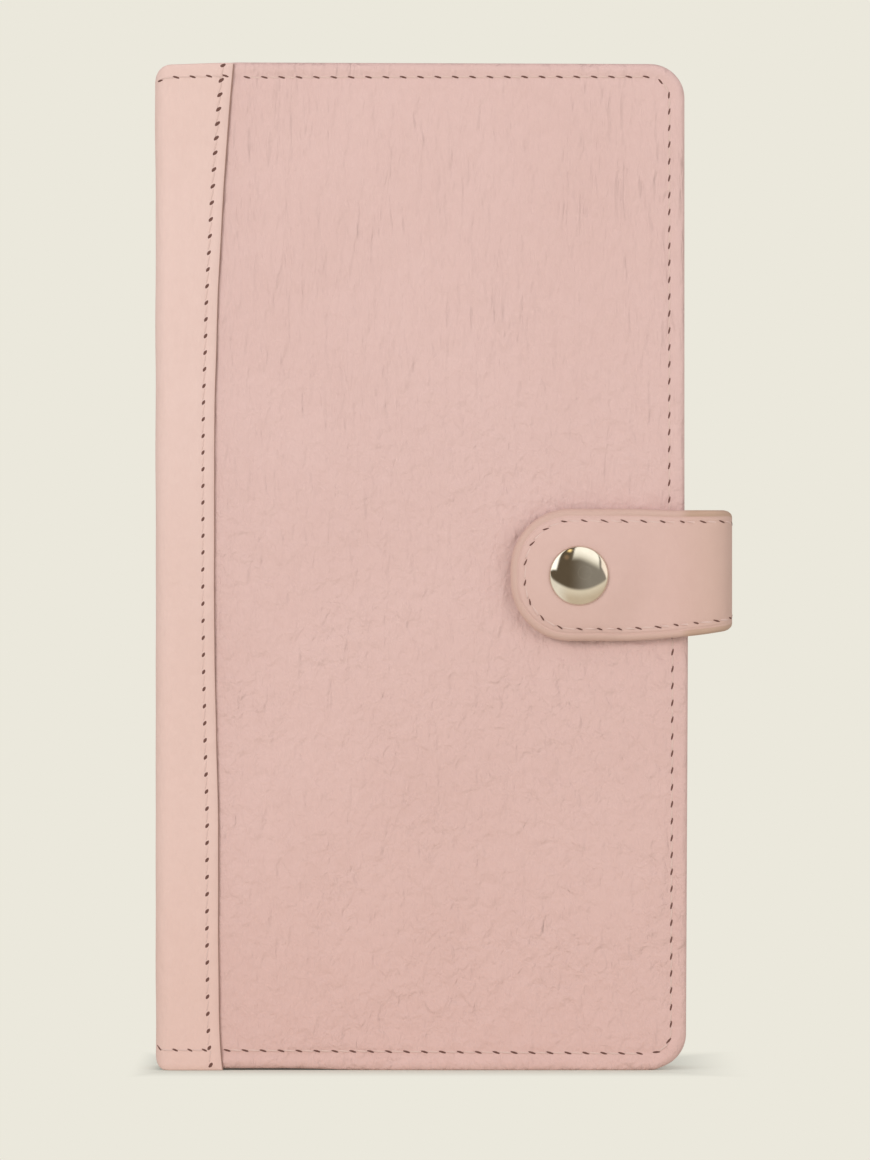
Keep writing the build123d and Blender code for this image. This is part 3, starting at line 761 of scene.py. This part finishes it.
# %% Lining halves
GUTTER = 1.5 * MM
GUTTER_X = gutter_high.x + GUTTER
inner_front, inner_back = lining_high.y, Y_BACK - COVER
lining_run = lining_high.x - GUTTER_X
lining_runs = [lining_run, (GUTTER, -90), inner_back - inner_front - 2 * GUTTER, (GUTTER, -90), lining_run]
lining_place, lining_length = lay_path((lining_high.x, inner_back), 180, lining_runs)
lining_size = (lining_length, lining_high.z - lining_low.z)
lining_corners = all_corners(None, COVER_CORNER - lining_low.z)


def lining_relief(u, v, gap):
    """Uneven where it is glued, and plain along its edges and in the middle, where its halves meet."""
    middle = ease(abs(u - lining_length / 2), 0, 3)
    return ease(gap, 0, 2) * middle * slow_relief(u, v, 9.3, 0.015, 0.10 * MM)


bm = cut_sheet(lining_size, LINING, 0.2 * MM, 1.3 * MM, lining_corners, lining_relief)
bend_sheet(bm, lining_place, lining_low.z)
lining_front, lining_back = make_halves("lining", bm, Y_MIDDLE, "lining", suede)
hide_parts("front_lining", "lining_front_turn", "spine_lining")
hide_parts("back_lining", "lining_back_turn")
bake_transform(lining_front)
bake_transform(lining_back)

# %% [markdown]
# ## Pockets
#
# The front cover holds one tall slip pocket and four card slots, each mouth a step lower than the last. A
# leaf's mouth is turned over into a hem with a row of stitches under it. The back cover has a boarding-pass
# pocket with a dipping mouth and, over it, a moulded pocket for the passport.

# %% Pocket with its hem
HEM = 7 * MM
HEM_ROW = (HEM - 0.9 * MM, 4 * MM)  # from the mouth down to the row, and from a side to the first hole


def leaf_relief(height, seed):
    """The hem is twice as thick as the leaf and has a crease along the mouth."""

    def shape(u, v, gap):
        from_mouth = height - v
        band = 0.14 * MM * smooth((HEM - from_mouth) / (0.7 * MM))
        crease = -0.10 * MM * hill(from_mouth, 1.7 * MM, 0.35 * MM)
        return band + crease - 0.14 * MM + ease(gap, 0, 3) * slow_relief(u, v, seed, 0.018, 0.06 * MM)

    return shape


def add_pocket(node_name, form, body, bm, place, size, v_low, row=HEM_ROW, warp=None):
    """Lays a pocket's leaf in place and sews the level row of small stitches under its mouth."""
    surface = height_on(bm)
    bend_sheet(bm, place, v_low, warp)
    leaf = make_piece(f"{node_name}_{form}", bm, "pocket_leather", pocket_leather)
    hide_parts(node_name)
    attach(leaf, body)
    v, aside = size[1] - row[0], row[1]
    bm = bmesh.new()
    stitch_row(
        bm, lambda s: (Vector((s, v)), Vector((0, 1))), aside, size[0] - aside, 2.9 * MM, -14, surface,
        hole=(0.5 * MM, 0.15 * MM), ridge=0.08,
    )
    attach(stitch_piece(f"{node_name}_stitches", bm, "pocket_leather", place, v_low, warp), body)


# %% Leaves of the front pockets
FRONT_LEAVES = ["slip_pocket"] + [f"card_slot_{slot}" for slot in range(1, 5)]
leaf_corners = {(1, -1): COVER_CORNER - slip_low.z}
for index, node_name in enumerate(FRONT_LEAVES):
    low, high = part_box(node_name)
    size = (high.x - low.x, high.z - low.z)
    place, _ = lay_path((low.x, low.y + 0.7 * MM), 0, [size[0]])
    bm = cut_sheet(size, 0.55 * MM, 0.26 * MM, 1.2 * MM, leaf_corners, leaf_relief(size[1], 4.0 + index))
    add_pocket(node_name, "leaf", "front_cover", bm, place, size, low.z)

# %% Boarding-pass pocket of the back cover
ticket_low, ticket_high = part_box("ticket_pocket")
ticket_size = (ticket_high.x - ticket_low.x, ticket_high.z - ticket_low.z)
TICKET_DIP = 14 * MM
ticket_place, _ = lay_path((ticket_high.x, ticket_low.y), 180, [ticket_size[0]])


def ticket_warp(u, v):
    """The mouth falls in a curve from the spine to the free edge, which is at u = 0."""
    fall = TICKET_DIP * (1 - u / ticket_size[0]) ** 2
    return u, v * (1 - fall / ticket_size[1])


free_corner = {(-1, -1): COVER_CORNER - ticket_low.z}
bm = cut_sheet(ticket_size, 0.6 * MM, 0.28 * MM, 1.2 * MM, free_corner, leaf_relief(ticket_size[1], 9.0))
add_pocket(
    "ticket_pocket", "leaf", "back_cover", bm, ticket_place, ticket_size, ticket_low.z, warp=ticket_warp,
)

# %% [markdown]
# The passport pocket is wet-moulded over a block, so one sheet makes the flat flange, the wall and the
# raised face. Its grid lines crowd together near the edges, where the wall stands, and the thickness
# follows the same form.

# %% Moulded passport pocket
mould_low, mould_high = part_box("passport_pocket")
mould_size = (mould_high.x - mould_low.x, mould_high.z - mould_low.z)
flange_y = ticket_low.y - 0.95 * MM
RAISED = flange_y - mould_low.y
block = (mould_size[0], mould_size[1] + 0.05)  # the block stands out past the open mouth
block_corners = all_corners({(-1, -1): 8 * MM, (1, -1): 8 * MM}, 1 * MM)


def crowd(t):
    """Puts a third of the grid lines into the outer tenth, on both sides."""
    return t - 0.14 * math.sin(2 * math.pi * t)


def raised(u, v, foot, top):
    """Height of the moulded form, whose wall stands between two distances inside the block's edge."""
    return RAISED * ease(edge_distance(u, v, block, block_corners)[0], foot, top)


def mould(u, v, gap):
    return raised(u, v, 1.9, 3.8) + slow_relief(u, v, 6.1, 0.02, 0.08 * MM)


def mould_under(u, v, gap):
    return raised(u, v, 2.4, 4.1)


mould_place, _ = lay_path((mould_high.x, flange_y), 180, [mould_size[0]])
free_corner = {(-1, -1): COVER_CORNER - mould_low.z}
bm = cut_sheet(mould_size, 0.85 * MM, 0.3 * MM, 0.9 * MM, free_corner, mould, mould_under, spread=crowd)
mouth_row = (2.2 * MM, 4.6 * MM)
add_pocket("passport_pocket", "moulded", "back_cover", bm, mould_place, mould_size, mould_low.z, mouth_row)

# %% [markdown]
# The rows round the covers go through the lining and the edges of the pockets, so they show again inside.
# Each stitch finds the layer that it lies on, because the layers step down one by one.

# %% Rows on the inner sides
def inner_surface(place, names):
    """Height of the innermost layer under (u, v), in the flat coordinates of the cover's outer side."""
    bm = bmesh.new()
    for name in names:
        bm.from_mesh(bpy.data.objects[name].data)
    tree = BVHTree.FromBMesh(bm)
    bm.free()

    def surface(u, v):
        point, outside = place(u)
        start = point - outside * (Y_BACK - Y_FRONT) * 0.6  # past the holder's middle, between the covers
        hit = tree.ray_cast(Vector((*start, LIFT + v)), Vector((*outside, 0)))[0]
        return (hit.to_2d() - point).dot(outside) if hit else -COVER

    return surface


INNER_HOLE = (0.55 * MM, 0.17 * MM)
LAYERS = {
    "front_cover": ["front_cover_skin", "lining_front"] + [f"{leaf}_leaf" for leaf in FRONT_LEAVES],
    "back_cover": ["back_cover_skin", "lining_back", "ticket_pocket_leaf", "passport_pocket_moulded"],
}
for name, place, _, front in COVERS:
    bm = bmesh.new()
    cover_row(bm, front, (2 * MM, 2 * MM), inner_surface(place, LAYERS[name]), hole=INNER_HOLE, ridge=0.12)
    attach(stitch_piece(f"{name}_inner_stitches", bm, "cover_leather", place, LIFT), name)

# %% [markdown]
# ## Strap
#
# The strap is sewn to the back cover, comes round the free edge and ends in a D-shaped tip under the snap.
# It is doubled leather with a turned rim, which stands up outside its stitch row and is rubbed tan by
# handling. Its bends are a darker tan, partly rubbed and partly a painted shade where they curve away
# from the light.

# %% Flat shape of the strap
anchor_run = bend_low.x - anchor_low.x
side_run = (anchor_high.y - tongue_low.y) - 2 * BEND
tongue_run = bend_low.x - tongue_low.x
BEND_RUN = BEND * math.pi / 2
strap_runs = [anchor_run, (BEND, 90), side_run, (BEND, 90), tongue_run]
strap_place, strap_length = lay_path((anchor_low.x, anchor_high.y), 0, strap_runs)
STRAP_LOW = tongue_low.z
NECK_RISE = side_low.z - STRAP_LOW
TIP_WIDTH = tongue_high.z - STRAP_LOW
STRAP_SIZE = (strap_length, TIP_WIDTH)
tip_corner = (TIP_WIDTH - 2.4 * MM) / 2
strap_corners = {(-1, -1): 3 * MM, (-1, 1): 3 * MM, (1, -1): tip_corner, (1, 1): tip_corner}
STRAP_SEAM = 2.6 * MM
NECK_AT = anchor_run + 2 * BEND_RUN + side_run  # where the tongue leaves its bend
MID_SIDE = anchor_run + BEND_RUN + side_run / 2
RISE_FROM = 0.037  # x where the lower edge leaves the tip's round


def strap_relief(u, v, gap):
    """A rim that stands up beyond its crease, and the groove of the row. The strap's side stays plain
    between its bends."""
    wander = 0.12 * MM * noise.noise(Vector((u / 0.006, v / 0.006, 2.2)))
    rim = 0.14 * MM * hill(gap, 0.75 * MM, 0.45 * MM) - 0.26 * MM * hill(gap + wander, 1.55 * MM, 0.17 * MM)
    row = -0.10 * MM * hill(gap, STRAP_SEAM, 0.5 * MM)
    flat = smooth((abs(u - MID_SIDE) - side_run / 2 - 0.35 * BEND_RUN) / (0.55 * BEND_RUN))
    return flat * (rim + row + slow_relief(u, v, 1.7, 0.014, 0.10 * MM)) - sag(u, v) + bow(u)


SNAP_UV = Vector((NECK_AT + side_high.x - BEND - SNAP.x, SNAP.z - STRAP_LOW))


def sag(u, v):
    """The snap holds the strap off the cover. Round it the soft tongue sinks back, and its rim curls in
    further."""
    away = (Vector((u, v)) - SNAP_UV).length
    gap = edge_distance(u, v, STRAP_SIZE, strap_corners)[0]
    curl = 0.6 * MM * ease(gap, 3.2, 0)
    return (2.3 * MM * ease(away, 6, 16.5) + curl) * ease(u - NECK_AT, 0, 10)


def bow(u):
    """The side of the strap stands out a little in its middle."""
    return 0.45 * MM * smooth(1.25 - abs(u - MID_SIDE) / (side_run / 2 + BEND_RUN))


def strap_under(u, v, gap=0.0):
    """The flesh side follows the strap's large forms only."""
    return bow(u) - sag(u, v)


def strap_rub_and_shade(u, gap):
    """The rim is rubbed a little. The bends get a little more tan, partly rubbed and partly a painted shade
    where they curve away from the light, and the rim round the bends most.
    """
    rim = ease(gap, 1.6, 1.2)
    bent = ease(u - NECK_AT, 9, -3) * ease(u - anchor_run, -9, 3)
    return max(0.32 * rim, 0.36 * bent, rim * smooth(2 * bent))


def strap_warp(u, v):
    """The lower edge rises from the tip to the narrower neck, the tip swells upward and the bends are
    rounded."""
    x = strap_place(u)[0].x
    risen = max(0.0, (x - RISE_FROM) / (side_high.x - RISE_FROM)) ** 1.6
    rise = NECK_RISE if u < MID_SIDE else NECK_RISE * risen
    share = v / TIP_WIDTH
    swell = 0.35 * MM * ease(u - NECK_AT, 5, 17)
    corner = 0.6 * quarter(1.2 * MM, side_high.x - x)
    return u, v + rise * (1 - share) + swell * share + corner * (1 - 2 * share)


# %% Strap halves
CORE = STRAP - 0.35 * MM  # thickness of the outer layer with its filler
bm = cut_sheet(
    STRAP_SIZE, CORE, 0.8 * MM, 0.42 * MM, strap_corners, strap_relief, strap_under, strap_rub_and_shade, to_edges,
)
on_strap = height_on(bm)
bend_sheet(bm, strap_place, STRAP_LOW, strap_warp)
side_middle = (tongue_low.y + anchor_high.y) / 2
strap_front, strap_back = make_halves("strap", bm, side_middle, "strap_leather", strap_leather)
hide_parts("strap_tongue", "strap_front_bend", "strap_side")
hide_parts("strap_anchor", "strap_back_bend")

# %% [markdown]
# The strap's inner side is a second layer, set in by the width of the turned rim.

# %% Strap lining
RIM = 1.7 * MM  # width of the turned rim on the inner side
inset_size = (strap_length - 2 * RIM, TIP_WIDTH - 2 * RIM)
inset_corners = {key: radius - RIM for key, radius in strap_corners.items()}
bm = cut_sheet(inset_size, 0.45 * MM, 0.2 * MM, 0.9 * MM, inset_corners)
for vert in bm.verts:
    u, v = vert.co.x + RIM, vert.co.y + RIM
    vert.co += Vector((RIM, RIM, 0.42 * MM - STRAP + strap_under(u, v)))
bend_sheet(bm, strap_place, STRAP_LOW, strap_warp)
lining_tongue, lining_anchor = make_halves("strap_lining", bm, side_middle, "strap_lining", strap_lining)
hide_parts("strap_tongue_lining", "strap_side_lining")
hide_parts("strap_anchor_lining")

# %% Strap stitches
def under_strap(u, v):
    return -STRAP - 0.04 * MM + strap_under(u, v)


arc, end_arc = tip_corner - STRAP_SEAM, 3 * MM - STRAP_SEAM
far, near = strap_length - tip_corner - 0.5 * MM, 3 * MM
seam_runs = [
    far - near, (arc, 90), TIP_WIDTH - 2 * tip_corner, (arc, 90), far - near,
    (end_arc, 90), TIP_WIDTH - 2 * near, (end_arc, 90),
]
strap_seam, seam_length = lay_path((near, TIP_WIDTH - STRAP_SEAM), 0, seam_runs)
bm = bmesh.new()
first, last = 2.5 * MM, seam_length - 1.6 * MM
stitch_row(bm, strap_seam, first, last, 4.1 * MM, 22, on_strap, (1.0 * MM, 0.20 * MM), 0.06)
stitch_row(bm, strap_seam, first, last, 4.1 * MM, 22, under_strap, (0.55 * MM, 0.17 * MM), 0.12)
bend_sheet(bm, strap_place, STRAP_LOW, strap_warp)
strap_rows = {}
for front, end in ((True, "front"), (False, "back")):
    half = bm.copy()
    gone = [v for v in half.verts if (v.co.y > side_middle) == front]
    bmesh.ops.delete(half, geom=gone, context="VERTS")
    strap_rows[front] = make_piece(f"strap_stitches_{end}", half, "strap_leather", pink_thread, needle_hole_shade)
bm.free()

# %% Bake the strap's pieces
for piece in (strap_front, lining_tongue, strap_rows[True]):
    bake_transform(piece)
for piece in (strap_back, lining_anchor, strap_rows[False]):
    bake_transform(piece)

# %% [markdown]
# ## Press stud
#
# The cap is drawn from thin brass sheet: a low crown, a tight shoulder and a rim rolled under, then
# polished and nickel plated. It is spun here from its section, with enough steps that reflections run
# smoothly round it.


# %% Snap cap
def spun(profile, centre):
    """Closed body of revolution about the Y axis through a centre, from (radius, y) points."""
    bm = bmesh.new()
    points = [bm.verts.new((radius, y, 0)) for radius, y in profile]
    geom = points + [bm.edges.new(pair) for pair in zip(points, points[1:])]
    bmesh.ops.spin(bm, geom=geom, cent=(0, 0, 0), axis=(0, 1, 0), angle=2 * math.pi, steps=72, use_merge=True)
    bmesh.ops.remove_doubles(bm, verts=bm.verts, dist=0.001 * MM)
    bmesh.ops.recalc_face_normals(bm, faces=bm.faces)
    bmesh.ops.translate(bm, verts=bm.verts, vec=centre)
    return bm


cap_radius = (cap_high.x - cap_low.x) / 2
seat_y, apex_y = tongue_low.y, cap_low.y
CROWN_SHARE = 0.93  # part of the radius that the crown takes, before the shoulder
STEEPEST = math.radians(32.6)  # slope of the crown where the shoulder starts
ROLLED = math.radians(150)  # slope of the rim where it meets the leather
CROWN_STEPS, SHOULDER_STEPS = 14, 12
crown_radius = CROWN_SHARE * cap_radius / math.sin(STEEPEST)
shoulder = (1 - CROWN_SHARE) * cap_radius / (1 - math.sin(STEEPEST))
profile = [(0.0, apex_y)]
for step in range(1, CROWN_STEPS + 1):
    slope = STEEPEST * step / CROWN_STEPS
    profile.append((crown_radius * math.sin(slope), apex_y + crown_radius * (1 - math.cos(slope))))
shoulder_y = profile[-1][1] + shoulder * math.cos(STEEPEST)
for step in range(1, SHOULDER_STEPS + 1):
    slope = STEEPEST + (ROLLED - STEEPEST) * step / SHOULDER_STEPS
    profile.append((cap_radius - shoulder * (1 - math.sin(slope)), shoulder_y - shoulder * math.cos(slope)))
profile = [(radius, min(y, seat_y)) for radius, y in profile] + [(0.0, seat_y)]
cap = make_piece("snap_cap_polished", spun(profile, SNAP), "polished_nickel", nickel)
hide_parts("snap_cap")
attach(cap, "strap_tongue")

# %% Inner snap parts and boards keep the model's own shapes
for node_name, material in (
    ("snap_socket", nickel_inner), ("snap_stud", nickel_inner), ("snap_post", nickel_inner),
    ("socket_spring", steel), ("front_board", board), ("back_board", board), ("spine_board", board),
):
    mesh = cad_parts[node_name].data
    mesh.materials.clear()
    mesh.materials.append(material)

# %% [markdown]
# ## Stage
#
# The holder stands on pale paper. The paper shows its own colour to the camera and to mirrors. Near the
# holder it keeps the real light, so that the contact shadow stays and fades out within a few centimetres.

# %% Floor
PAPER = (0.831, 0.807, 0.716)


def seen_directly(tree):
    """1 for camera, glossy and transmission rays, 0 for the rays that carry light about."""
    rays = add_node(tree, "ShaderNodeLightPath").outputs
    mirrored = calculate(tree, "MAXIMUM", rays["Is Glossy Ray"], rays["Is Transmission Ray"])
    return calculate(tree, "MAXIMUM", rays["Is Camera Ray"], mirrored)


def mix_surface(tree, share, lit, painted, output):
    """Shows the painted colour over the lit one, and gives the result to the tree's output."""
    mix = add_node(tree, "ShaderNodeMixShader", {"Fac": share, 1: lit.outputs[0], 2: painted.outputs[0]})
    feed(tree, tree.nodes[output], {"Surface": mix.outputs[0]})


material, tree, shader = new_material("floor_paper")
# painted shade: the lit paper has less red than the plain paper, which deepens the contact shadow a little
# and cancels the pink light bounced off the leather
feed(tree, shader, {"Base Color": (0.775, 0.80, 0.72, 1), "Roughness": 0.9, "Specular IOR Level": 0.0})
where = add_node(tree, "ShaderNodeTexCoord").outputs["Object"]
ways = add_node(tree, "ShaderNodeSeparateXYZ", {"Vector": where}).outputs
beside, left, front, behind = (
    ramp(tree, ways[way], real, painted, 0.05, 1.0, "SMOOTHSTEP")
    for way, real, painted in (  # axis, where the real light ends and where the plain colour begins
        ("X", 0.038, 0.065), ("X", -0.0568, -0.0656), ("Y", -0.006, -0.038), ("Y", 0.022, 0.076),
    )
)
sideways = calculate(tree, "MAXIMUM", beside, left)
painted = calculate(tree, "MAXIMUM", sideways, calculate(tree, "MAXIMUM", front, behind))
glow = add_node(tree, "ShaderNodeEmission", {"Color": (*PAPER, 1)})
mix_surface(tree, calculate(tree, "MULTIPLY", painted, seen_directly(tree)), shader, glow, "Material Output")
bm = bmesh.new()
bmesh.ops.create_grid(bm, x_segments=2, y_segments=2, size=3.0)
floor = make_piece("floor", bm, None, material)
floor.visible_glossy = False  # the mirrored room below makes what the metal shows

# %% World
world = bpy.data.worlds.new("studio")
bpy.context.scene.world = world
world.use_nodes = True
tree = world.node_tree
light = tree.nodes["Background"]
feed(tree, light, {"Color": (1.0, 0.995, 1.0, 1), "Strength": 0.62})
seen = add_node(tree, "ShaderNodeBackground", {"Color": (*PAPER, 1)})
mix_surface(tree, seen_directly(tree), light, seen, "World Output")

# %% [markdown]
# The lamps are soft and give the plain colours back as they are written. What the cap mirrors is set up on
# its own, as a shell round the holder that only mirror-like rays can see: a dark room in front, a window to
# each side above, and the pale table below. The shell is laid out by the place on the cap where each
# direction shows.

# %% Lamps
def soft_lamp(name, place, size, power):
    """Round white lamp, aimed at the middle of the holder."""
    lamp = bpy.data.lights.new(name, "AREA")
    lamp.shape = "DISK"
    lamp.size, lamp.energy = size, power
    holder = bpy.data.objects.new(name, lamp)
    holder.location = place
    holder.rotation_euler = (Vector((0, 0, 0.10)) - Vector(place)).to_track_quat("-Z", "Y").to_euler()
    holder.visible_glossy = False
    bpy.context.collection.objects.link(holder)


soft_lamp("key", (-0.80, -1.15, 0.48), size=0.6, power=6.9)
soft_lamp("fill", (0.9, -1.1, 0.30), size=0.9, power=4.2)


# %% Mirrored room
def over(base, colour, amount):
    """One colour laid over another."""
    amount = smooth(amount)
    return [low + (high - low) * amount for low, high in zip(base, colour)]


def room(x, y):
    """Colour that the cap shows at (x, y), in parts of its radius, seen from the front."""
    reach = math.hypot(x, y)
    # the dark room with a pale ring in it
    colour = over((0.30, 0.275, 0.24), (0.13, 0.10, 0.068), (0.42 - x) / 0.8)
    colour = over(colour, (0.42, 0.38, 0.33), 0.45 - 3.0 * abs(math.hypot(x - 0.20, y - 0.10) - 0.22) / 0.1)
    # the window on the right, brighter above, and a bright strip beside it
    window_low = 0.585 - 0.52 * max(0.0, x) ** 1.3
    right = min((x + 0.35 - 0.22 * y) / 0.06, (y - window_low) / 0.22 + 0.5, (0.71 - x) / 0.05)
    colour = over(colour, over((0.85, 0.81, 0.71), (1.35, 1.32, 1.22), (y - window_low) / 0.30), right)
    strip_from = 0.73 + 0.5 * max(0.0, 0.3 - y)
    colour = over(colour, (1.25, 1.12, 1.0), min((x - strip_from) / 0.06, (y + 0.20) / 0.20))
    # the window on the left, with a warm lamp and its dark foot beside it
    left = min((y - 0.17) / 0.07, (-0.72 + 0.26 * (y - 0.17) - x) / 0.07)
    colour = over(colour, (1.6, 1.58, 1.50), left)
    colour = over(colour, (1.6, 1.2, 0.55), 1.2 - math.hypot((x + 0.30) / 0.09, (y - 0.86) / 0.09))
    colour = over(colour, (0.30, 0.20, 0.12), 1.2 - math.hypot((x + 0.40) / 0.10, (y - 0.62) / 0.10))
    # the table, and the dark surroundings at the cap's edge
    below = -0.475 - 0.03 * x + 0.43 * x * x - y
    table = over((0.88, 0.80, 0.66), (0.68, 0.57, 0.44), below / 0.35)
    table = over((0.95, 0.90, 0.80), table, (x + 0.75) / 0.5)
    colour = over(colour, table, below / 0.12 + 0.5)
    return over(colour, (0.42, 0.30, 0.24), (reach - 1.05) / 0.3)


material, tree, _ = new_material("mirrored_room")
seen = add_node(tree, "ShaderNodeAttribute", attribute_name="room").outputs["Color"]
glow = add_node(tree, "ShaderNodeEmission", {"Color": seen})
feed(tree, tree.nodes["Material Output"], {"Surface": glow.outputs[0]})
RINGS, TURNS = 85, 120
RING_STEP = 0.02  # in parts of the cap's radius
ROOM_RADIUS = 1.5
bm = bmesh.new()
colours = bm.verts.layers.float_color.new("room")
rings = []
for ring in range(1, RINGS + 1):
    rings.append([])
    reach = RING_STEP * ring
    swing = 2 * math.asin(min(1.0, reach * math.sin(STEEPEST) / CROWN_SHARE))
    for turn in range(TURNS):
        angle = 2 * math.pi * turn / TURNS
        side = Vector((math.cos(angle), 0, math.sin(angle)))
        ahead = math.sin(swing) * side - math.cos(swing) * Vector((0, 1, 0))
        vert = bm.verts.new(Vector((SNAP.x, apex_y, SNAP.z)) + ROOM_RADIUS * ahead)
        vert[colours] = (*room(reach * side.x, reach * side.z), 1)
        rings[-1].append(vert)
for inner, outer in zip(rings, rings[1:]):
    for turn in range(TURNS):
        bm.faces.new((inner[turn - 1], inner[turn], outer[turn], outer[turn - 1]))
bm.faces.new(rings[0])
shell = make_piece("mirrored_room", bm, None, material)
shell.visible_camera = shell.visible_diffuse = shell.visible_shadow = shell.visible_transmission = False

# %% Camera
FRAME_HEIGHT = 0.2416  # what the picture shows, in the plane of the front cover
CAMERA_DISTANCE = 2.0
camera_data = bpy.data.cameras.new("camera")
camera_data.lens = CAMERA_DISTANCE * camera_data.sensor_width / FRAME_HEIGHT
camera = bpy.data.objects.new("camera", camera_data)
camera.location = (-0.0016, Y_FRONT - CAMERA_DISTANCE, 0.1021)
camera.rotation_euler = (math.pi / 2, 0, 0)
bpy.context.collection.objects.link(camera)
bpy.context.scene.camera = camera
bpy.context.scene.view_settings.view_transform = "Standard"
